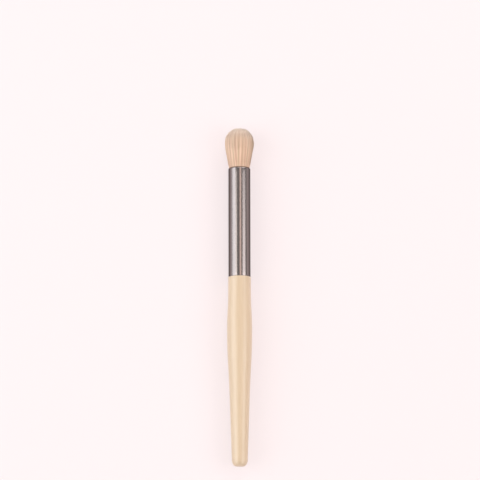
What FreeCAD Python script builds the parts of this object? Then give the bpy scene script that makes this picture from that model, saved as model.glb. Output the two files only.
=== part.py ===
import FreeCAD
import Part
import math
import os

# Eyeshadow brush: a turned and lacquered wooden handle, a drawn metal ferrule with a rolled-in mouth, and a
# domed head of soft hair that is tied with thread and set in resin inside the ferrule.
# Lengths are in millimetres. The brush lies along X on the plane z = 0, with its butt at -X and its hair
# at +X, and the origin is under the middle of its length.

# Handle, from the ferrule's seat to the butt
handle_length = 86.6
seat_diameter = 10.35
shoulder_chamfer = 0.3
neck_length = 6.5
belly_diameter = 11.45
belly_setback = 24.5
waist_diameter = 9.05
waist_setback = 56.0
butt_diameter = 7.3
butt_round_length = 2.9
butt_flat_diameter = 2.8

# Tenon of the handle and the glue that holds it
tenon_chamfer = 0.8
glue_film = 0.12
glue_setback = 0.5

# Ferrule
ferrule_length = 50.15
ferrule_diameter = 10.0
ferrule_wall = 0.35
lip_bend = 0.1

# Hair outside the ferrule: it flares from the mouth to its belly and closes in a full dome
tuft_length = 18.3
tuft_diameter = 13.0
tuft_belly_height = 11.1
flare_slope = 0.205
dome_power = 2.5

# Hair inside the ferrule, from the mouth down to the cut roots
collar_length = 8.0
root_end_length = 3.0

# Thread that ties the roots
thread_diameter = 0.5
thread_turns = 5

# Resin that the roots are set in, and the air behind it
plug_length = 4.0
plug_rim_share = 0.7
chamber_length = 5.0

# Clearances between neighbours that fill each other's room
fit_clearance = 0.02
hair_clearance = 0.05
thread_clearance = 0.08

# Radii that neighbours share
outer_radius = ferrule_diameter / 2
bore_radius = outer_radius - ferrule_wall
lip_depth = ferrule_wall + lip_bend
lip_radius = bore_radius - lip_bend
neck_radius = lip_radius - hair_clearance
tied_radius = bore_radius - thread_clearance - thread_diameter - fit_clearance
tenon_radius = bore_radius - glue_film - 2 * fit_clearance
axis_height = max(tuft_diameter, belly_diameter, seat_diameter, ferrule_diameter) / 2

# Places along the axis, from the butt to the tip
overall_length = handle_length + ferrule_length + tuft_length
butt_x = -overall_length / 2
seat_x = butt_x + handle_length
mouth_x = seat_x + ferrule_length

# Places inside the ferrule, from the mouth back to the tenon
lip_x = mouth_x - lip_depth
tied_top_x = mouth_x - collar_length
tied_foot_x = tied_top_x - thread_turns * thread_diameter - 2 * fit_clearance
root_end_x = tied_foot_x - root_end_length
plug_foot_x = root_end_x - fit_clearance - plug_length
tenon_end_x = plug_foot_x - chamber_length


def at(along, radius):
    """A point of a half section: a place along the axis and a distance from it."""
    return FreeCAD.Vector(along, 0, radius)


def chain(points):
    """Straight edges from each point to the next."""
    return [Part.LineSegment(a, b).toShape() for a, b in zip(points, points[1:])]


def quarter_round(start, centre, end):
    """An arc of a quarter turn about the centre."""
    spoke = (start - centre) + (end - centre)
    spoke.normalize()
    middle = centre + spoke * (start - centre).Length
    return Part.Arc(start, middle, end).toShape()


def tangent_arc(start, corner, end):
    """The arc from start to end whose end tangents meet at the corner."""
    middle = (start + end) / 2
    lean = (start - middle).Length / (start - corner).Length
    return Part.Arc(start, middle + (corner - middle) * (lean / (1 + lean)), end).toShape()


def biarc(start, start_direction, end, end_direction):
    """Two arcs that leave and arrive in the given directions and join smoothly."""
    start_direction.normalize()
    end_direction.normalize()
    way = end - start
    turn = start_direction + end_direction
    bend = 2 * start_direction.dot(end_direction) - 2
    along = way.dot(turn)
    reach = way.dot(way) / (along + math.sqrt(along ** 2 - bend * way.dot(way)))
    first_corner = start + start_direction * reach
    last_corner = end - end_direction * reach
    joint = (first_corner + last_corner) / 2
    return [tangent_arc(start, first_corner, joint), tangent_arc(joint, last_corner, end)]


def spin(edges):
    """The solid that a closed half section makes around the brush's axis, lifted to its height."""
    section = Part.Face(Part.Wire(edges))
    solid = section.revolve(FreeCAD.Vector(0, 0, 0), FreeCAD.Vector(1, 0, 0), 360)
    solid.translate(FreeCAD.Vector(0, 0, axis_height))
    return solid


def make_handle():
    """The turned handle: rounded butt, straight taper, belly, straight neck, and a tenon."""
    butt_radius = butt_diameter / 2
    seat_radius = seat_diameter / 2
    butt_flat = at(butt_x, butt_flat_diameter / 2)
    taper_foot = at(butt_x + butt_round_length, butt_radius)
    waist = at(seat_x - waist_setback, waist_diameter / 2)
    belly = at(seat_x - belly_setback, belly_diameter / 2)
    straight = FreeCAD.Vector(1, 0, 0)
    outward = FreeCAD.Vector(0, 0, 1)
    neck_and_tenon = [
        at(seat_x - neck_length, seat_radius),
        at(seat_x - shoulder_chamfer, seat_radius),
        at(seat_x, seat_radius - shoulder_chamfer),
        at(seat_x, tenon_radius),
        at(tenon_end_x - tenon_chamfer, tenon_radius),
        at(tenon_end_x, tenon_radius - tenon_chamfer),
        at(tenon_end_x, 0),
        at(butt_x, 0),
        butt_flat,
    ]
    edges = biarc(butt_flat, outward, taper_foot, waist - taper_foot)
    edges += chain([taper_foot, waist])
    edges += biarc(waist, waist - taper_foot, belly, straight)
    edges += biarc(belly, straight, neck_and_tenon[0], straight)
    return spin(edges + chain(neck_and_tenon))


def make_ferrule():
    """The drawn tube, whose mouth is rolled in."""
    outside = [at(seat_x, bore_radius), at(seat_x, outer_radius), at(lip_x, outer_radius)]
    inside = [
        at(mouth_x, lip_radius),
        at(mouth_x - ferrule_wall, lip_radius),
        at(lip_x, bore_radius),
        at(seat_x, bore_radius),
    ]
    lip = quarter_round(outside[-1], at(lip_x, lip_radius), inside[0])
    return spin(chain(outside) + [lip] + chain(inside))


def head_outline(neck):
    """Arcs of the head's side, from the neck at the mouth over the belly and the full dome to the tip."""
    belly_radius = tuft_diameter / 2
    dome_height = tuft_length - tuft_belly_height
    full_share = math.sqrt(0.5) ** (2 / dome_power)
    belly_x = mouth_x + tuft_belly_height
    belly = at(belly_x, belly_radius)
    shoulder = at(belly_x + full_share * dome_height, full_share * belly_radius)
    tip = at(belly_x + dome_height, 0)
    along = FreeCAD.Vector(1, 0, 0)
    inward = FreeCAD.Vector(0, 0, -1)
    closing = FreeCAD.Vector(dome_height, 0, -belly_radius)
    rise = belly_radius - neck.z
    corner = at(neck.x + rise / flare_slope, belly_radius)
    side = corner - neck
    flare_top = corner - side * ((belly - corner).Length / side.Length)
    flare = chain([neck, flare_top]) + [tangent_arc(flare_top, corner, belly)]
    return flare + biarc(belly, along, shoulder, closing) + biarc(shoulder, closing, tip, inward)


def make_hair_tuft():
    """The hair as one closed form: cut roots, a groove where the tie draws them in, and the domed head."""
    neck = at(mouth_x, neck_radius)
    shank = [
        at(mouth_x + tuft_length, 0),
        at(root_end_x, 0),
        at(root_end_x, neck_radius),
        at(tied_foot_x, neck_radius),
        at(tied_foot_x, tied_radius),
        at(tied_top_x, tied_radius),
        at(tied_top_x, neck_radius),
        neck,
    ]
    return spin(chain(shank) + head_outline(neck))


def ring(start_x, end_x, inner_radius, ring_radius):
    """A plain ring about the brush's axis."""
    corners = [
        at(start_x, inner_radius),
        at(start_x, ring_radius),
        at(end_x, ring_radius),
        at(end_x, inner_radius),
    ]
    return spin(chain(corners + corners[:1]))


def make_root_tie():
    """The tie: thread wound side by side around the roots, as one band."""
    inner_radius = tied_radius + fit_clearance
    start_x = tied_foot_x + fit_clearance
    end_x = tied_top_x - fit_clearance
    return ring(start_x, end_x, inner_radius, inner_radius + thread_diameter)


def make_root_resin_plug():
    """The set resin behind the roots, as a cup around their cut ends."""
    plug_radius = bore_radius - fit_clearance
    cup_radius = neck_radius + fit_clearance
    cup_floor_x = root_end_x - fit_clearance
    rim_x = root_end_x + plug_rim_share * root_end_length
    outline = [
        at(plug_foot_x, 0),
        at(cup_floor_x, 0),
        at(cup_floor_x, cup_radius),
        at(rim_x, cup_radius),
        at(rim_x, plug_radius),
        at(plug_foot_x, plug_radius),
    ]
    return spin(chain(outline + outline[:1]))


def make_tenon_glue():
    """The set glue: a thin sleeve between tenon and ferrule."""
    end_x = tenon_end_x - tenon_chamfer
    return ring(seat_x + glue_setback, end_x, tenon_radius + fit_clearance, bore_radius - fit_clearance)


nodes = {
    "handle": make_handle(),
    "ferrule": make_ferrule(),
    "hair_tuft": make_hair_tuft(),
    "root_resin_plug": make_root_resin_plug(),
    "root_tie": make_root_tie(),
    "tenon_glue": make_tenon_glue(),
}
os.makedirs("parts", exist_ok=True)
for name, shape in nodes.items():
    shape.exportStep("parts/%s.step" % name)
    print("%-20s valid %s, %d solid, %.2f mm3" % (name, shape.isValid(), len(shape.Solids), shape.Volume))
print("overall length %.2f, tenon length %.2f, axis height %.2f"
      % (overall_length, tenon_end_x - seat_x, axis_height))
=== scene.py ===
import math

import bpy
import numpy as np
from mathutils import Matrix, Vector


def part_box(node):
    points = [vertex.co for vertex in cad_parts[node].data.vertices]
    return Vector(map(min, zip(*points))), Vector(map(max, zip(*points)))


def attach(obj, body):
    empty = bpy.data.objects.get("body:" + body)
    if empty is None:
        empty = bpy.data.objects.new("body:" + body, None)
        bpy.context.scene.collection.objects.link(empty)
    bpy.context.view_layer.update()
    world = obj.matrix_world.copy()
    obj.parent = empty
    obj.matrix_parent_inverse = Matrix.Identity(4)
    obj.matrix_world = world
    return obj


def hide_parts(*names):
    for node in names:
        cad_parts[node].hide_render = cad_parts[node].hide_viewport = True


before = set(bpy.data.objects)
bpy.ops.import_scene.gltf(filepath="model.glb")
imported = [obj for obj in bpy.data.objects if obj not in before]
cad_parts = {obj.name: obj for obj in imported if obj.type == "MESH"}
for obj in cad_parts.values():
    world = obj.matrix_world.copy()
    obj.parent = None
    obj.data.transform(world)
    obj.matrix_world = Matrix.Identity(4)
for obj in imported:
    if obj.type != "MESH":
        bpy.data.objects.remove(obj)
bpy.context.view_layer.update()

# An eyeshadow brush that lies along X, with its butt at -X and its hair at +X. Blender's unit is the metre,
# and MM turns sizes in millimetres into it.
MM = 0.001

# Handle, from the ferrule's seat to the butt
seat_diameter = 10.35 * MM
shoulder_round = 0.3 * MM
neck_length = 6.5 * MM
belly_diameter = 11.45 * MM
belly_setback = 24.5 * MM
waist_diameter = 9.05 * MM
waist_setback = 56.0 * MM
butt_diameter = 7.3 * MM
butt_round_length = 2.9 * MM
butt_flat_diameter = 2.8 * MM
tenon_diameter = 8.98 * MM
tenon_chamfer = 0.8 * MM

# Ferrule
ferrule_diameter = 10.0 * MM
ferrule_wall = 0.35 * MM
lip_bend = 0.1 * MM
edge_break = 0.08 * MM

# Hair inside the ferrule, and the thread that ties it
hair_clearance = 0.05 * MM
tied_radius = 4.05 * MM
tie_length = 2.54 * MM
collar_length = 8.0 * MM
thread_diameter = 0.5 * MM
thread_groove = 0.1 * MM

# Head of hair: the form that its strands fill, and the closed core under them
tuft_diameter = 12.8 * MM
tuft_belly_height = 11.3 * MM
fan_height = 0.4 * MM
fan_out = 0.19 * MM
flare_slope = 0.18
dome_power = 2.5
dome_draw_share = 0.27
core_inset = 0.16 * MM
core_tip_inset = 0.45 * MM

# Grooves between the locks
groove_share = 0.009
groove_lowest = -1.6
groove_highest = 1.2
groove_fade = 2.5 * MM

# Tone and warmth of the hair, from 0 to 1, with painted shade towards the mouth and in a thin line at its
# gap, and paler tips that are a painted highlight on the dome
middle_tone = 0.5
painted_mouth_shade_share = 0.42
painted_mouth_shade_height = 12.0 * MM
painted_gap_shade_height = 0.4 * MM
tone_wave_share = 0.19
warmth_wave_share = 0.24
strand_tone_share = 0.15
painted_tip_highlight_start_share = 0.66
painted_tip_highlight_share = 0.85

# Strands, whose rings crowd towards the tip, and the cells that they are unwrapped into
side_strand_count = 2600
dome_strand_count = 5200
dome_parts = 2
strand_radius = 0.048 * MM
strand_taper = 1.6 * MM
strand_sides = 3
strand_rings = 9
ring_crowding = 1.5
soft_normal_share = 0.75
root_depth = 0.3 * MM
dome_strand_length = 4.5 * MM
tip_scatter = 0.28 * MM
stray_spread = 0.1 * MM
lift_power = 3
cell_aspect = 6
cell_margin_share = 0.1
seed = 20

# A lock that stands off the head's side
lock_strand_count = 40
lock_turn = math.radians(174.0)
lock_spread = math.radians(3.0)
lock_height = 12.4 * MM
lock_length = 8.0 * MM
lock_lift = 0.26 * MM

# Steps that outlines are cut into, steps around the axis, and the angle from which an edge is sharp
butt_flat_steps = 3
butt_round_steps = 8
taper_steps = 24
swell_steps = 16
fall_steps = 12
neck_steps = 4
shoulder_steps = 6
tenon_steps = 4
edge_steps = 3
tube_steps = 24
mouth_steps = 10
lip_steps = 5
bore_steps = 12
root_steps = 2
flare_round_steps = 12
core_side_steps = 24
core_dome_steps = 20
tip_search_points = 400
turn_steps = 160
core_turn_steps = 360
sharp_angle = math.radians(35.0)

# Marks of the surfaces: their lengths along and across the brush, and their depths
grain_length = 18.0 * MM
grain_width = 0.35 * MM
ripple_length = 4.0 * MM
ripple_width = 2.5 * MM
ripple_depth = 0.006 * MM
drawn_length = 40.0 * MM
drawn_width = 0.16 * MM
drawn_depth = 0.0012 * MM
cloud_length = 12.0 * MM
cloud_width = 3.0 * MM
sheen_length = 6.0 * MM
sheen_width = 0.3 * MM
cast_cloud_length = 1.5 * MM
cast_depth = 0.03 * MM

# The range that most of a noise lies in, which reaches a little higher for the wood's grain
noise_low = 0.3
noise_middle = 0.5
noise_high = 0.7
grain_high = 0.72

# Radians that a wave texture turns through in one scaled unit of length
wave_turn = 20.0

# Camera: it stands above, leans towards the butt, is rolled slightly and looks at a point near the axis
camera_lean = math.radians(10.0)
camera_roll = math.radians(-0.1)
camera_distance = 2.0
camera_clip_start = 0.1
camera_aim_setback = 17.1 * MM
camera_aim_side = -0.25 * MM
frame_width = 218.3 * MM
sensor_width_mm = 36.0

# Lamps: their distance, where they start and end along the brush, how they lean, and the room's colour
lamp_distance = 0.9
lamp_start = -0.38
lamp_end = 0.215
long_lamp_start = -0.6
long_lamp_end = 0.45
far_lamp_end = 1.2
top_lean = math.radians(56.0)
top_length = 0.5
foot_lean = math.radians(-70.0)
foot_length = 0.3
room_colour = (0.38, 0.355, 0.345, 1.0)

# Floor: between the near and the far distance it turns into a plain sheet, and its rim rises farther out
near_floor = 0.2
far_floor = 0.45
near_sheet_share = 0.65
floor_radius = 2.2
rim_radius = 3.4
rim_height = 0.6
floor_rings = 8
rim_rings = 12
floor_turn_steps = 96
floor_colour = (0.87, 0.79, 0.80, 1.0)
sheet_colour = (1.0, 0.905, 0.91, 1.0)

# Places that the frame gives
butt_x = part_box("handle")[0].x
tenon_end_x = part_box("handle")[1].x
seat_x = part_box("ferrule")[0].x
mouth_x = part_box("ferrule")[1].x
root_end_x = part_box("hair_tuft")[0].x
tip_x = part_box("hair_tuft")[1].x
axis_height = (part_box("ferrule")[0].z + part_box("ferrule")[1].z) / 2

# Sizes that follow from those above
outer_radius = ferrule_diameter / 2
bore_radius = outer_radius - ferrule_wall
lip_depth = ferrule_wall + lip_bend
lip_radius = bore_radius - lip_bend
neck_radius = lip_radius - hair_clearance
tuft_radius = tuft_diameter / 2
tuft_length = tip_x - mouth_x
dome_height = tuft_length - tuft_belly_height

# Random draws, the same in every run
rng = np.random.default_rng(seed)


# Outlines

def at(along, radius):
    """A point of a half section: a place along the axis and a distance from it."""
    return np.array([along, radius])


def line(start, end, steps=1):
    """Points from start to end, without the first."""
    return [start + (end - start) * step / steps for step in range(1, steps + 1)]


def tangent_arc(start, corner, end, steps):
    """Points of the arc from start to end whose end tangents meet at the corner, without the first."""
    weight = np.linalg.norm(end - start) / 2 / np.linalg.norm(corner - start)
    points = []
    for passed in np.linspace(0, 1, steps + 1)[1:]:
        shares = np.array([(1 - passed) ** 2, 2 * weight * passed * (1 - passed), passed ** 2])
        points.append(shares @ np.array([start, corner, end]) / shares.sum())
    return points


def biarc(start, start_direction, end, end_direction, steps):
    """Points of two smoothly joined arcs with the given directions at their ends, without the first."""
    start_direction = start_direction / np.linalg.norm(start_direction)
    end_direction = end_direction / np.linalg.norm(end_direction)
    way = end - start
    bend = 2 * start_direction @ end_direction - 2
    along = way @ (start_direction + end_direction)
    reach = way @ way / (along + math.sqrt(along ** 2 - bend * (way @ way)))
    first_corner = start + start_direction * reach
    last_corner = end - end_direction * reach
    joint = (first_corner + last_corner) / 2
    return tangent_arc(start, first_corner, joint, steps) + tangent_arc(joint, last_corner, end, steps)


def handle_outline():
    """The handle from the middle of its butt to the middle of its tenon's end."""
    straight, outward = at(1, 0), at(0, 1)
    seat_radius = seat_diameter / 2
    tenon_radius = tenon_diameter / 2
    butt_flat = at(butt_x, butt_flat_diameter / 2)
    taper_foot = at(butt_x + butt_round_length, butt_diameter / 2)
    waist = at(seat_x - waist_setback, waist_diameter / 2)
    belly = at(seat_x - belly_setback, belly_diameter / 2)
    neck = at(seat_x - neck_length, seat_radius)
    shoulder = at(seat_x - shoulder_round, seat_radius)
    shoulder_face = at(seat_x, seat_radius - shoulder_round)
    points = [at(butt_x, 0)]
    points += line(points[-1], butt_flat, butt_flat_steps)
    points += biarc(butt_flat, outward, taper_foot, waist - taper_foot, butt_round_steps)
    points += line(taper_foot, waist, taper_steps)
    points += biarc(waist, waist - taper_foot, belly, straight, swell_steps)
    points += biarc(belly, straight, neck, straight, fall_steps)
    points += line(neck, shoulder, neck_steps)
    points += tangent_arc(shoulder, at(seat_x, seat_radius), shoulder_face, shoulder_steps)
    points += line(shoulder_face, at(seat_x, tenon_radius))
    points += line(points[-1], at(tenon_end_x - tenon_chamfer, tenon_radius), tenon_steps)
    points += line(points[-1], at(tenon_end_x, tenon_radius - tenon_chamfer))
    return points + line(points[-1], at(tenon_end_x, 0))


def ferrule_outline():
    """The tube's wall as a loop: seat end, outside, rolled mouth, inside."""
    lip_x = mouth_x - lip_depth
    seat_edge = at(seat_x, outer_radius - edge_break)
    outside = at(seat_x + edge_break, outer_radius)
    mouth_edge = at(mouth_x, lip_radius)
    inner_edge = at(mouth_x - ferrule_wall, lip_radius)
    lip_inside = at(lip_x, bore_radius)
    points = [at(seat_x, bore_radius)]
    points += line(points[-1], seat_edge)
    points += tangent_arc(seat_edge, at(seat_x, outer_radius), outside, edge_steps)
    points += line(outside, at(lip_x, outer_radius), tube_steps)
    points += tangent_arc(points[-1], at(mouth_x, outer_radius), mouth_edge, mouth_steps)
    points += line(mouth_edge, inner_edge)
    points += tangent_arc(inner_edge, at(inner_edge[0], bore_radius), lip_inside, lip_steps)
    return points + line(lip_inside, at(seat_x, bore_radius), bore_steps)[:-1]


# Form of the hair

def flare_radius(height, belly_radius):
    """The radius at heights over the mouth: a fan over the lip, an even flare, and a round to the belly."""
    neck = at(0, neck_radius)
    fan = neck + at(fan_height, fan_out)
    corner = at(fan_height + (belly_radius - fan[1]) / flare_slope, belly_radius)
    belly = at(tuft_belly_height, belly_radius)
    flare = corner - fan
    flare_top = corner - flare * (tuft_belly_height - corner[0]) / np.linalg.norm(flare)
    flare_round = tangent_arc(flare_top, corner, belly, flare_round_steps)
    places, radii = np.array([neck, fan, flare_top] + flare_round).T
    return np.interp(height, places, radii)


def dome_share(height, dome):
    """What the dome leaves of the radius, at heights over the mouth, for a dome of the given height."""
    over_belly = np.clip((height - tuft_belly_height) / dome, 0, 1)
    return (1 - over_belly ** dome_power) ** (1 / dome_power)


def flow_radius(height):
    """The radius at which the outermost strand runs: along the flare, then drawn in over the belly."""
    over_belly = np.clip((height - tuft_belly_height) / dome_height, 0, 1)
    return flare_radius(height, tuft_radius) * (1 - dome_draw_share * over_belly ** 2)


def tip_height(share):
    """The height at which a strand that runs at this share of the flow's radius meets the dome."""
    height = np.linspace(tuft_belly_height, tuft_length, tip_search_points)
    reach = tuft_radius * dome_share(height, dome_height) / flow_radius(height)
    reach = np.minimum.accumulate(np.minimum(reach, 1))
    return np.interp(share, reach[::-1], height[::-1])


def random_waves(count, fewest, most, drift):
    """Waves around the head: how often each comes, where it starts, and how it drifts per millimetre."""
    numbers = rng.integers(fewest, most, count)
    starts = rng.uniform(0, 2 * math.pi, count)
    drifts = rng.normal(0, drift, count)
    return numbers, starts, drifts


def wave_height(waves, angle, height):
    """The waves' joint height at places of the head, as often above zero as below."""
    numbers, starts, drifts = waves
    turn = np.multiply.outer(angle, numbers) + np.multiply.outer(height, drifts / MM) + starts
    return np.cos(turn).sum(axis=-1) / math.sqrt(len(numbers) / 2)


groove_waves = random_waves(count=12, fewest=16, most=90, drift=0.06)
tone_waves = random_waves(count=12, fewest=12, most=64, drift=0.16)
warmth_waves = random_waves(count=8, fewest=6, most=30, drift=0.16)


def groove_factor(angle, height):
    """How far the grooves between the locks change the radius, which fades away towards the mouth."""
    fade = np.clip(height / groove_fade, 0, 1)
    wave = np.clip(wave_height(groove_waves, angle, height), groove_lowest, groove_highest)
    return 1 + groove_share * fade * wave


def strand_colours(angle, height, share, uneven):
    """Tone, share of the length and warmth at places of the head, as the parts of a colour.

    The waves are strongest at the outside, and none are left in the middle, where the share is zero.
    """
    # Painted shade: the tone darkens towards the mouth
    shade = painted_mouth_shade_share * np.clip(1 - height / painted_mouth_shade_height, 0, 1)
    tone_wave = tone_wave_share * share ** 2 * wave_height(tone_waves, angle, height)
    tone = np.clip(middle_tone - shade + tone_wave + uneven, 0, 1)
    along = np.clip(height / tuft_length, 0, 1)
    warmth_wave = warmth_wave_share * share ** 2 * wave_height(warmth_waves, angle, height)
    warmth = np.clip(middle_tone + warmth_wave, 0, 1)
    return np.stack([tone, along, warmth, np.ones_like(tone)], axis=-1)


def core_outline():
    """The closed core: the bundle of roots with the groove of its tie, and the inner mass of the head."""
    tied_top_x = mouth_x - collar_length
    tied_foot_x = tied_top_x - tie_length
    bundle = [
        at(root_end_x, neck_radius),
        at(tied_foot_x, neck_radius),
        at(tied_foot_x, tied_radius),
        at(tied_top_x, tied_radius),
        at(tied_top_x, neck_radius),
        at(mouth_x, neck_radius),
    ]
    points = [at(root_end_x, 0)]
    for place in bundle:
        points += line(points[-1], place, root_steps)
    dome = dome_height - core_tip_inset
    rise = np.sin(np.linspace(0, math.pi / 2, core_dome_steps + 1)[1:]) ** (2 / dome_power)
    sides = np.linspace(0, tuft_belly_height, core_side_steps + 1)[1:]
    heights = np.concatenate([sides, tuft_belly_height + dome * rise])
    radii = flare_radius(heights, tuft_radius - core_inset) * dome_share(heights, dome)
    return points + [at(mouth_x + height, radius) for height, radius in zip(heights, radii)]


def soft_normals(places):
    """Directions square to the head's form at places near its surface."""
    height = places[..., 0] - mouth_x
    across = places[..., 1:] - np.array([0, axis_height])
    radius = np.linalg.norm(across, axis=-1)
    over_belly = np.clip((height - tuft_belly_height) / dome_height, 0, 1)
    under_belly = np.clip(1 - height / tuft_belly_height, 0, 1)
    outward = np.where(over_belly > 0, radius / tuft_radius, 1) ** (dome_power - 1) / tuft_radius
    forward = over_belly ** (dome_power - 1) / dome_height - flare_slope * under_belly / tuft_radius
    spokes = across / np.maximum(radius, strand_radius)[..., None]
    normals = np.concatenate([forward[..., None], spokes * outward[..., None]], axis=-1)
    return normals / np.linalg.norm(normals, axis=-1)[..., None]


def place_strands(share, angle, top, length, lift):
    """Middle lines of strands, as strands, rings and coordinates, and their colours."""
    count = len(share)
    top = top + rng.normal(0, tip_scatter, count)
    start = np.maximum(top - length, -root_depth)
    rise = 1 - (1 - np.linspace(0, 1, strand_rings)) ** ring_crowding
    height = start[:, None] + (top - start)[:, None] * rise
    swing = rng.normal(0, stray_spread / tuft_radius, count)[:, None]
    around = angle[:, None] + swing * np.clip(height / tuft_length, 0, 1) ** 2
    radius = share[:, None] * flow_radius(np.maximum(height, 0)) * groove_factor(around, height)
    radius = radius + rng.normal(lift, stray_spread, count)[:, None] * rise ** lift_power
    side, up = radius * np.cos(around), radius * np.sin(around)
    lines = np.stack([mouth_x + height, side, axis_height + up], axis=-1)
    uneven = rng.normal(0, strand_tone_share, count) * (2 - share)
    return lines, strand_colours(around, height, share[:, None], uneven[:, None])


# Meshes

def add_piece(name, mesh, material, replaced):
    """A piece of the brush that stands for a node of the frame."""
    piece = bpy.data.objects.new(name, mesh)
    bpy.context.scene.collection.objects.link(piece)
    mesh.materials.append(material)
    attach(piece, "root")
    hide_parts(replaced)


def paint(mesh, colours):
    """Gives each vertex its strand colour."""
    attribute = mesh.color_attributes.new("strand", "FLOAT_COLOR", "POINT")
    attribute.data.foreach_set("color", colours.astype(np.float32).ravel())


def unwrap(mesh, places):
    """Gives each corner of the faces its place on the unwrapped surface."""
    layer = mesh.uv_layers.new(name="OFBake")
    layer.uv.foreach_set("vector", places.astype(np.float32).ravel())


def spin(name, outline, turns, is_loop=False, factor=None):
    """A mesh made by turning an outline about the brush's axis. Ends on the axis become single points."""
    angles = np.arange(turns) * 2 * math.pi / turns
    spokes = np.column_stack([np.zeros(turns), np.cos(angles), np.sin(angles)])
    lengths = [np.linalg.norm(after - before) for before, after in zip(outline, outline[1:])]
    shares = np.concatenate([[0], np.cumsum(lengths)]) / sum(lengths)
    vertices, rings = [], []
    for along, radius in outline:
        middle = np.array([along, 0, axis_height])
        reach = radius
        if factor is not None:
            reach = radius * factor(angles, np.full(turns, along - mouth_x))[:, None]
        points = [middle] if radius == 0 else list(middle + spokes * reach)
        rings.append(list(range(len(vertices), len(vertices) + len(points))))
        vertices += points
    pairs = list(zip(range(len(rings) - 1), range(1, len(rings))))
    if is_loop:
        pairs.append((len(rings) - 1, 0))
    faces, places = [], []
    for low, high in pairs:
        top_share = shares[high] if high else 1.0
        for turn in range(turns):
            corners = [(low, turn, shares[low]), (low, turn + 1, shares[low]),
                       (high, turn + 1, top_share), (high, turn, top_share)]
            if len(rings[low]) == 1:
                corners.pop(0)
            if len(rings[high]) == 1:
                corners.pop()
            faces.append([rings[ring][step % len(rings[ring])] for ring, step, share in corners])
            places += [(step / turns, share) for ring, step, share in corners]
    mesh = bpy.data.meshes.new(name)
    mesh.from_pydata(vertices, [], faces)
    unwrap(mesh, np.array(places))
    mesh.shade_smooth()
    mesh.set_sharp_from_angle(angle=sharp_angle)
    return mesh


def core_mesh(name):
    """The hair's core, with grooves between its locks."""
    mesh = spin(name, core_outline(), core_turn_steps, factor=groove_factor)
    places = np.empty(3 * len(mesh.vertices), np.float32)
    mesh.vertices.foreach_get("co", places)
    along, side, up = places.reshape(-1, 3).astype(float).T
    height = along - mouth_x
    share = np.minimum(np.hypot(side, up - axis_height) / flow_radius(np.maximum(height, 0)), 1)
    paint(mesh, strand_colours(np.arctan2(up - axis_height, side), height, share, uneven=0))
    return mesh


def strand_pattern():
    """The faces of one strand, as numbers of its vertices, and where their corners lie when unwrapped."""
    tip = (strand_rings - 1) * strand_sides
    faces = [list(range(strand_sides))[::-1]]
    places = [(side / strand_sides, 0) for side in range(strand_sides)][::-1]
    for ring in range(strand_rings - 1):
        low, high = ring * strand_sides, (ring + 1) * strand_sides
        for side in range(strand_sides):
            after = (side + 1) % strand_sides
            corners = [(low + side, side, ring), (low + after, side + 1, ring)]
            if high == tip:
                corners.append((tip, side + 0.5, ring + 1))
            else:
                corners += [(high + after, side + 1, ring + 1), (high + side, side, ring + 1)]
            faces.append([number for number, turn, step in corners])
            places += [(turn / strand_sides, step / (strand_rings - 1)) for number, turn, step in corners]
    return faces, np.array(places)


def strand_mesh(name, lines, colours):
    """Closed, tapered strands along the given lines, each unwrapped into a cell of its own."""
    count = len(lines)
    turn = np.arange(strand_sides) * 2 * math.pi / strand_sides
    spokes = np.column_stack([np.zeros(strand_sides), np.cos(turn), np.sin(turn)])
    taper = np.sqrt(np.clip((lines[:, -1:, 0] - lines[:, :, 0]) / strand_taper, 0, 1))
    tubes = lines[:, :, None, :] + spokes[None, None] * (strand_radius * taper)[:, :, None, None]
    vertices = np.concatenate([tubes[:, :-1].reshape(count, -1, 3), lines[:, -1:, :]], axis=1)
    faces, inner = strand_pattern()
    sizes = np.tile([len(face) for face in faces], count)
    starts = np.concatenate([[0], np.cumsum(sizes)[:-1]])
    first_vertices = np.arange(count)[:, None] * vertices.shape[1]
    corners = (np.concatenate(faces)[None, :] + first_vertices).ravel()
    mesh = bpy.data.meshes.new(name)
    mesh.vertices.add(count * vertices.shape[1])
    mesh.vertices.foreach_set("co", vertices.astype(np.float32).ravel())
    mesh.loops.add(len(corners))
    mesh.loops.foreach_set("vertex_index", corners.astype(np.int32))
    mesh.polygons.add(len(starts))
    mesh.polygons.foreach_set("loop_start", starts.astype(np.int32))
    columns = int(math.sqrt(count * cell_aspect))
    rows = math.ceil(count / columns)
    cells = np.column_stack([np.arange(count) % columns, np.arange(count) // columns])
    inner = inner * (1 - 2 * cell_margin_share) + cell_margin_share
    unwrap(mesh, (cells[:, None, :] + inner[None]) / np.array([columns, rows]))
    paint(mesh, np.concatenate([np.repeat(colours[:, :-1], strand_sides, axis=1), colours[:, -1:]], axis=1))
    mesh.update(calc_edges=True)
    mesh.validate()
    mesh.shade_smooth()
    own = np.empty(3 * len(mesh.vertices), np.float32)
    mesh.vertex_normals.foreach_get("vector", own)
    soft = soft_normals(vertices.reshape(-1, 3))
    normals = soft * soft_normal_share + own.reshape(-1, 3) * (1 - soft_normal_share)
    mesh.normals_split_custom_set_from_vertices(normals)
    return mesh


# Materials

def srgb(red, green, blue):
    """The linear colour of a screen colour given from 0 to 255."""
    screen = [part / 255 for part in (red, green, blue)]
    return [part / 12.92 if part < 0.04045 else ((part + 0.055) / 1.055) ** 2.4 for part in screen] + [1.0]


def new_material(name):
    """A material with one shader, and its node tree."""
    material = bpy.data.materials.new(name)
    material.use_nodes = True
    return material, material.node_tree


def feed(tree, socket, value):
    """Sets a socket to a value, or links it to another node's socket."""
    if isinstance(value, bpy.types.NodeSocket):
        tree.links.new(value, socket)
    else:
        socket.default_value = value


def add_node(tree, kind, inputs, **settings):
    """A node with its settings and inputs."""
    node = tree.nodes.new(kind)
    for name, value in settings.items():
        setattr(node, name, value)
    for name, value in inputs.items():
        feed(tree, node.inputs[name], value)
    return node


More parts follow.
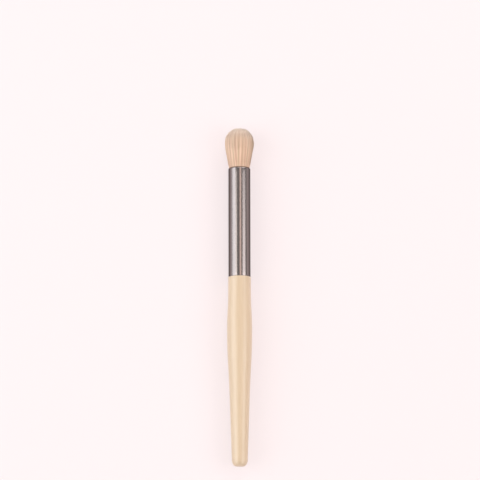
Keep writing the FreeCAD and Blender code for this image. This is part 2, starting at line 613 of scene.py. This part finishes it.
def shader(tree, inputs):
    """Sets the inputs of the tree's own shader."""
    principled = next(node for node in tree.nodes if node.type == "BSDF_PRINCIPLED")
    for name, value in inputs.items():
        feed(tree, principled.inputs[name], value)


def stretched_noise(tree, along, across, detail):
    """Noise whose features have the given lengths along and across the brush."""
    coordinates = add_node(tree, "ShaderNodeTexCoord", {})
    scale = (1 / along, 1 / across, 1 / across)
    mapping = add_node(tree, "ShaderNodeMapping", {"Vector": coordinates.outputs["Object"], "Scale": scale})
    noise = {"Vector": mapping.outputs["Vector"], "Scale": 1.0, "Detail": detail}
    return add_node(tree, "ShaderNodeTexNoise", noise).outputs["Fac"]


def ramp(tree, factor, *stops):
    """A colour ramp with stops of a place and a colour."""
    node = add_node(tree, "ShaderNodeValToRGB", {"Fac": factor})
    elements = node.color_ramp.elements
    for inner_stop in stops[1:-1]:
        elements.new(inner_stop[0])
    for element, (place, colour) in zip(elements, stops):
        element.position = place
        element.color = colour
    return node.outputs["Color"]


def even_ramp(tree, factor, *colours):
    """A colour ramp whose colours are spread evenly from 0 to 1."""
    return ramp(tree, factor, *zip(np.linspace(0, 1, len(colours)), colours))


def mix(tree, factor, first, last):
    """The first colour where the factor is 0, the last where it is 1."""
    inputs = {"Factor": factor, "A": first, "B": last}
    node = tree.nodes.new("ShaderNodeMix")
    node.data_type = "RGBA"
    for socket in node.inputs:
        if socket.enabled and socket.name in inputs:
            feed(tree, socket, inputs[socket.name])
    return next(socket for socket in node.outputs if socket.enabled)


def spread(tree, noise, low, high):
    """A noise's middle range, turned into values from low to high."""
    limits = {"Value": noise, "From Min": noise_low, "From Max": noise_high, "To Min": low, "To Max": high}
    return add_node(tree, "ShaderNodeMapRange", limits).outputs["Result"]


def bump(tree, height, depth):
    """A normal from a height of the given depth."""
    return add_node(tree, "ShaderNodeBump", {"Height": height, "Distance": depth}).outputs["Normal"]


def lacquered_wood():
    """Cream lacquer over fine wood: faint grain along the handle under a clear, slightly rippled coat."""
    material, tree = new_material("lacquered_wood")
    grain = stretched_noise(tree, grain_length, grain_width, detail=6.0)
    ripple = stretched_noise(tree, ripple_length, ripple_width, detail=2.0)
    deep, middle, pale = srgb(204, 180, 148), srgb(207, 184, 153), srgb(210, 188, 158)
    shader(tree, {
        "Base Color": ramp(tree, grain, (noise_low, deep), (noise_middle, middle), (grain_high, pale)),
        "Roughness": spread(tree, grain, low=0.36, high=0.46),
        "Coat Weight": 1.0,
        "Coat Roughness": 0.33,
        "Coat IOR": 1.6,
        "Coat Normal": bump(tree, ripple, ripple_depth),
    })
    return material


def plated_metal():
    """Nickel plate with fine lines along the tube, under a thin tinted coat: it gives the plate its dark
    tone, and its darkening at a slant is painted shade in the reflections.
    """
    material, tree = new_material("plated_metal")
    drawn = stretched_noise(tree, drawn_length, drawn_width, detail=4.0)
    cloud = stretched_noise(tree, cloud_length, cloud_width, detail=2.0)
    dull, bright = (0.592, 0.566, 0.550, 1.0), (0.628, 0.600, 0.584, 1.0)
    shader(tree, {
        "Base Color": ramp(tree, cloud, (noise_low, dull), (noise_high, bright)),
        "Metallic": 1.0,
        "Roughness": spread(tree, drawn, low=0.17, high=0.24),
        # Specular Tint and Coat Tint darken the plate at a slant: painted shade in the reflections on the
        # tube's flanks
        "Specular Tint": (0.3, 0.3, 0.3, 1.0),
        "Coat Weight": 1.0,
        "Coat IOR": 1.05,
        "Coat Tint": (0.515, 0.480, 0.478, 1.0),
        "Normal": bump(tree, drawn, drawn_depth),
    })
    return material


def hair():
    """Beige hair: strands differ in tone and warmth, with paler tips that are a painted highlight, and
    painted shade as a dark line at the mouth.
    """
    material, tree = new_material("hair")
    strand = add_node(tree, "ShaderNodeAttribute", {}, attribute_name="strand")
    parts = add_node(tree, "ShaderNodeSeparateColor", {"Color": strand.outputs["Color"]})
    tone, along, warmth = [parts.outputs[name] for name in ("Red", "Green", "Blue")]
    cool = even_ramp(tree, tone, srgb(200, 172, 145), srgb(225, 198, 171), srgb(238, 219, 198))
    warm = even_ramp(tree, tone, srgb(202, 164, 142), srgb(227, 193, 168), srgb(241, 213, 194))
    # Paler colours mixed in towards the tips: a painted highlight that lightens the dome
    tip = even_ramp(tree, tone, srgb(206, 184, 165), srgb(237, 221, 206), srgb(249, 239, 229))
    none, most = (0.0, 0.0, 0.0, 1.0), (painted_tip_highlight_share, painted_tip_highlight_share, painted_tip_highlight_share, 1.0)
    end = ramp(tree, along, (painted_tip_highlight_start_share, none), (1.0, most))
    coordinates = add_node(tree, "ShaderNodeTexCoord", {})
    place = add_node(tree, "ShaderNodeSeparateXYZ", {"Vector": coordinates.outputs["Object"]})
    # Painted shade: the hair is dark brown in a thin band just over the ferrule's mouth
    limits = {"Value": place.outputs["X"], "From Min": mouth_x, "From Max": mouth_x + painted_gap_shade_height}
    out_of_painted_gap_shade = add_node(tree, "ShaderNodeMapRange", limits).outputs["Result"]
    sheen = stretched_noise(tree, sheen_length, sheen_width, detail=2.0)
    lit = mix(tree, end, mix(tree, warmth, cool, warm), tip)
    painted_gap_shade = srgb(104, 74, 58)
    shader(tree, {
        "Base Color": mix(tree, out_of_painted_gap_shade, painted_gap_shade, lit),
        "Roughness": spread(tree, sheen, low=0.45, high=0.6),
        "Specular IOR Level": 0.35,
    })
    return material


def thread():
    """Waxed thread, as turns side by side, with painted shade in the grooves between them."""
    material, tree = new_material("thread")
    coordinates = add_node(tree, "ShaderNodeTexCoord", {})
    scale = 2 * math.pi / wave_turn / thread_diameter
    wave = {"Vector": coordinates.outputs["Object"], "Scale": scale}
    turns = add_node(tree, "ShaderNodeTexWave", wave).outputs["Fac"]
    shader(tree, {
        # Darker where the turns dip between each other: painted shade in the grooves
        "Base Color": even_ramp(tree, turns, srgb(176, 160, 136), srgb(222, 208, 184)),
        "Roughness": 0.8,
        "Normal": bump(tree, turns, thread_groove),
    })
    return material


def cast(name, dark, pale, smoothest, roughest):
    """A set resin or glue: slightly cloudy, with a soft uneven surface."""
    material, tree = new_material(name)
    cloud = stretched_noise(tree, cast_cloud_length, cast_cloud_length, detail=3.0)
    shader(tree, {
        "Base Color": ramp(tree, cloud, (noise_low, dark), (noise_high, pale)),
        "Roughness": spread(tree, cloud, smoothest, roughest),
        "Normal": bump(tree, cloud, cast_depth),
    })
    return material


# Stage

def floor_mesh():
    """A round floor whose rim rises softly."""
    turns = floor_turn_steps
    radii = list(np.linspace(0, floor_radius, floor_rings + 1)[1:])
    radii += list(np.linspace(floor_radius, rim_radius, rim_rings + 1)[1:])
    angles = np.arange(turns) * 2 * math.pi / turns
    vertices, faces = [(0, 0, 0)], []
    for radius in radii:
        lift = rim_height * (max(radius - floor_radius, 0) / (rim_radius - floor_radius)) ** 2
        vertices += [(radius * math.cos(angle), radius * math.sin(angle), lift) for angle in angles]
    for turn in range(turns):
        after = (turn + 1) % turns
        faces.append((0, 1 + turn, 1 + after))
        for ring in range(len(radii) - 1):
            low, high = 1 + ring * turns, 1 + (ring + 1) * turns
            faces.append((low + turn, high + turn, high + after, low + after))
    mesh = bpy.data.meshes.new("floor")
    mesh.from_pydata(vertices, [], faces)
    mesh.shade_smooth()
    return mesh


def floor_material():
    """Pale and matt. Camera and mirrors see it partly as a plain pale sheet, and far out only as that."""
    material, tree = new_material("floor")
    tree.nodes.clear()
    path = add_node(tree, "ShaderNodeLightPath", {})
    seen = path.outputs["Is Camera Ray"]
    for ray in ("Is Glossy Ray", "Is Transmission Ray"):
        either = {0: seen, 1: path.outputs[ray]}
        seen = add_node(tree, "ShaderNodeMath", either, operation="MAXIMUM").outputs[0]
    place = add_node(tree, "ShaderNodeNewGeometry", {}).outputs["Position"]
    distance = add_node(tree, "ShaderNodeVectorMath", {0: place}, operation="LENGTH").outputs["Value"]
    limits = {"Value": distance, "From Min": near_floor, "From Max": far_floor, "To Min": near_sheet_share}
    flat = add_node(tree, "ShaderNodeMapRange", limits).outputs["Result"]
    share = add_node(tree, "ShaderNodeMath", {0: seen, 1: flat}, operation="MULTIPLY").outputs[0]
    matt = add_node(tree, "ShaderNodeBsdfDiffuse", {"Color": floor_colour})
    sheet = add_node(tree, "ShaderNodeEmission", {"Color": sheet_colour, "Strength": 1.0})
    both = add_node(tree, "ShaderNodeMixShader", {0: share, 1: matt.outputs[0], 2: sheet.outputs[0]})
    add_node(tree, "ShaderNodeOutputMaterial", {"Surface": both.outputs[0]})
    return material


def add_floor():
    """The floor that the brush lies on."""
    mesh = floor_mesh()
    mesh.materials.append(floor_material())
    floor = bpy.data.objects.new("floor", mesh)
    bpy.context.scene.collection.objects.link(floor)


def add_softbox(name, start, end, side_degrees, width_degrees, radiance, colour,
                lean=0, is_mirrored_only=False):
    """A rectangular lamp along the brush, from start to end.

    Its side angle is measured from above, towards +Y, and its lean towards the hair. Its width is the angle
    that it spans. A lamp that is mirrored only shows in gloss, and lights nothing matt.
    """
    side = math.radians(side_degrees)
    length = end - start
    width = 2 * lamp_distance * math.tan(math.radians(width_degrees) / 2)
    away = Vector((math.sin(lean), math.cos(lean) * math.sin(side), math.cos(lean) * math.cos(side)))
    along = (Vector((1, 0, 0)) - away * away.x).normalized()
    lamp = bpy.data.lights.new(name, "AREA")
    lamp.shape = "RECTANGLE"
    lamp.size = length
    lamp.size_y = width
    lamp.energy = math.pi * length * width * radiance
    lamp.color = colour
    box = bpy.data.objects.new(name, lamp)
    bpy.context.scene.collection.objects.link(box)
    turned = Matrix((along, away.cross(along), away)).transposed()
    place = away * lamp_distance + along * (start + end) / 2
    box.matrix_world = Matrix.Translation(place) @ turned.to_4x4()
    box.visible_camera = False
    box.visible_diffuse = not is_mirrored_only


def add_lights():
    """Softboxes around the brush, and a dim room.

    The key is a wide box on one side, with a low and an inner one beside it. The fill is on the other side,
    and a narrow warm strip is above. The top stands past the hair and the foot past the butt. Past both
    ends the key and the fill go on as boxes that only show in gloss.
    """
    key = {"side_degrees": 58.5, "width_degrees": 33, "radiance": 2.35, "colour": (0.96, 1.0, 1.04)}
    low = {"side_degrees": 81, "width_degrees": 15, "radiance": 0.8, "colour": (0.85, 1.0, 1.08)}
    inner = {"side_degrees": 34, "width_degrees": 17, "radiance": 2.6, "colour": (1.0, 0.98, 0.94)}
    fill = {"side_degrees": -49, "width_degrees": 31, "radiance": 2.7, "colour": (1.0, 0.97, 0.98)}
    strip = {"side_degrees": -10.5, "width_degrees": 14, "radiance": 1.72, "colour": (1.0, 0.77, 0.67)}
    top = {"side_degrees": -24, "width_degrees": 60, "radiance": 2.5, "colour": (1.0, 0.99, 0.98)}
    foot = {"side_degrees": 0, "width_degrees": 50, "radiance": 1.0, "colour": (1.0, 0.99, 0.98)}
    add_softbox("key", long_lamp_start, long_lamp_end, **key)
    add_softbox("key_low", long_lamp_start, long_lamp_end, **low)
    add_softbox("key_inner", lamp_start, lamp_end, **inner)
    add_softbox("fill", long_lamp_start, lamp_end, **fill)
    for name, light in (("key", key), ("fill", fill)):
        add_softbox(name + "_past_butt", -far_lamp_end, long_lamp_start, **light, is_mirrored_only=True)
        add_softbox(name + "_past_hair", long_lamp_end, far_lamp_end, **light, is_mirrored_only=True)
    add_softbox("strip", lamp_start, long_lamp_end, **strip)
    add_softbox("top", -top_length / 2, top_length / 2, **top, lean=top_lean)
    add_softbox("foot", -foot_length / 2, foot_length / 2, **foot, lean=foot_lean)
    world = bpy.data.worlds.new("room")
    bpy.context.scene.world = world
    world.use_nodes = True
    world.node_tree.nodes["Background"].inputs["Color"].default_value = room_colour


def add_camera():
    """A long lens above the brush, with +X up in the picture."""
    camera = bpy.data.cameras.new("camera")
    camera.sensor_width = sensor_width_mm
    camera.lens = sensor_width_mm * camera_distance / frame_width
    camera.clip_start = camera_clip_start
    stand = bpy.data.objects.new("camera", camera)
    bpy.context.scene.collection.objects.link(stand)
    back = Vector((-math.sin(camera_lean), 0, math.cos(camera_lean)))
    up = Vector((math.cos(camera_lean), 0, math.sin(camera_lean)))
    level = Matrix((up.cross(back), up, back)).transposed()
    turned = level @ Matrix.Rotation(camera_roll, 3, "Z")
    aim = Vector((seat_x + camera_aim_setback, camera_aim_side, axis_height))
    stand.matrix_world = Matrix.Translation(aim + back * camera_distance) @ turned.to_4x4()
    bpy.context.scene.camera = stand


# The brush

wood, metal, fur = lacquered_wood(), plated_metal(), hair()
handle_mesh = spin("handle_turned", handle_outline(), turn_steps)
tube_mesh = spin("ferrule_tube", ferrule_outline(), turn_steps, is_loop=True)
add_piece("handle_turned", handle_mesh, wood, "handle")
add_piece("ferrule_tube", tube_mesh, metal, "ferrule")
add_piece("hair_core", core_mesh("hair_core"), fur, "hair_tuft")

core_share = 1 - core_inset / tuft_radius
side_shares = rng.uniform(core_share, 1.0, side_strand_count)
dome_shares = np.sqrt(rng.uniform(0, 1, dome_strand_count))
strand_sets = {"hair_sides": (side_shares, tuft_length + root_depth)}
for number, shares in enumerate(np.array_split(np.sort(dome_shares), dome_parts), 1):
    strand_sets["hair_dome_%d" % number] = (shares, dome_strand_length)
for name, (shares, length) in strand_sets.items():
    angles = rng.uniform(0, 2 * math.pi, len(shares))
    strands = place_strands(shares, angles, tip_height(shares), length, lift=0)
    add_piece(name, strand_mesh(name, *strands), fur, "hair_tuft")
lock_angles = rng.normal(lock_turn, lock_spread, lock_strand_count)
lock = place_strands(np.ones(lock_strand_count), lock_angles, lock_height, lock_length, lock_lift)
add_piece("hair_lock", strand_mesh("hair_lock", *lock), fur, "hair_tuft")

resin_dark, resin_pale = srgb(176, 132, 70), srgb(204, 164, 104)
glue_dark, glue_pale = srgb(212, 198, 158), srgb(228, 216, 182)
inner_materials = {
    "root_tie": thread(),
    "root_resin_plug": cast("resin", resin_dark, resin_pale, smoothest=0.18, roughest=0.28),
    "tenon_glue": cast("glue", glue_dark, glue_pale, smoothest=0.5, roughest=0.6),
}
for name, material in inner_materials.items():
    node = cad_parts[name]
    node.data.materials.clear()
    node.data.materials.append(material)

add_floor()
add_lights()
add_camera()
bpy.context.scene.view_settings.view_transform = "Standard"
